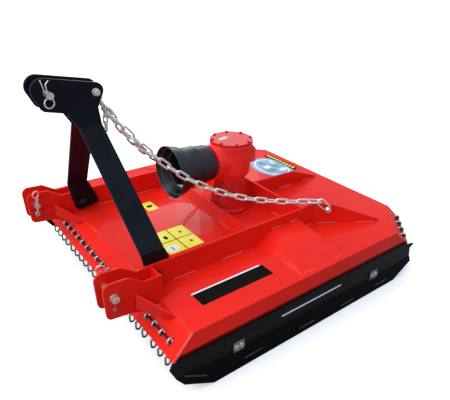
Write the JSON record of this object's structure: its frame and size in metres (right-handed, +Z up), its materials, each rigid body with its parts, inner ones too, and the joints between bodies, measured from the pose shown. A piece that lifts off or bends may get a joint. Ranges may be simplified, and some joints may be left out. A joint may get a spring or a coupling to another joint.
{
  "type": "rotary cutter",
  "caption": "Tractor mounted rotary cutter: flat steel deck on skids with chain guards, bevel gearbox, swinging blades and a tilting three point mast",
  "frame": {"origin": "centre of the bounding box on the ground", "axes": "X is the machine's left, the hitch looks towards -Y, Z is up"},
  "size_m": [1.37, 1.65, 1.042],
  "materials": {
    "red_paint": "gloss",
    "red_casting": "gloss",
    "black_paint": "satin",
    "black_plastic": "satin",
    "zinc": "galvanised",
    "bare_steel": "machined"
  },
  "bodies": {
    "deck": {"deck_shell": "red_paint", "side_skirts": "red_paint", "long_ribs": "red_paint", "lug_plates": "red_paint", "cross_plates": "red_paint", "front_beam": "red_paint", "side_ramps": "red_paint", "skids": "black_paint", "skid_bolts": "zinc", "lower_pins": "zinc", "lock_bolts": "zinc", "guard_rods": "zinc", "guard_chains": "zinc", "mast_bolts": "zinc", "stay_chains": "zinc", "chain_anchors": "zinc", "gearbox_neck": "red_casting", "gearbox_case": "red_casting", "gearbox_cap": "red_casting", "pto_shield": "black_plastic"},
    "mast": {"mast_plates": "black_paint", "top_pin": "zinc", "chain_bolt": "zinc"},
    "input": {"input_shaft": "bare_steel"},
    "rotor": {"rotor_spindle": "bare_steel", "blade_bar": "bare_steel"},
    "blade_left": {"blade_1": "bare_steel"},
    "blade_right": {"blade_2": "bare_steel"}
  },
  "joints": [
    {"name": "mast_tilt", "type": "hinge", "parent": "deck", "child": "mast", "pos_m": [0, -0.561, 0.343], "axis": [1, 0, 0], "range_deg": [-16, 7], "deforming": ["stay_chains"]},
    {"name": "rotor_spin", "type": "hinge", "parent": "deck", "child": "rotor", "pos_m": [0, 0.073, 0.3], "axis": [0, 0, 1], "continuous": true},
    {"name": "input_spin", "type": "hinge", "parent": "deck", "child": "input", "pos_m": [0, -0.156, 0.554], "axis": [0, 1, 0], "continuous": true},
    {"name": "blade_left_swing", "type": "hinge", "parent": "rotor", "child": "blade_left", "pos_m": [0.4, 0.073, 0.075], "axis": [0, 0, 1], "continuous": true},
    {"name": "blade_right_swing", "type": "hinge", "parent": "rotor", "child": "blade_right", "pos_m": [-0.4, 0.073, 0.075], "axis": [0, 0, 1], "continuous": true}
  ],
  "couplings": [
    {"joint": "input_spin", "follows": "rotor_spin", "ratio": 0.52}
  ]
}
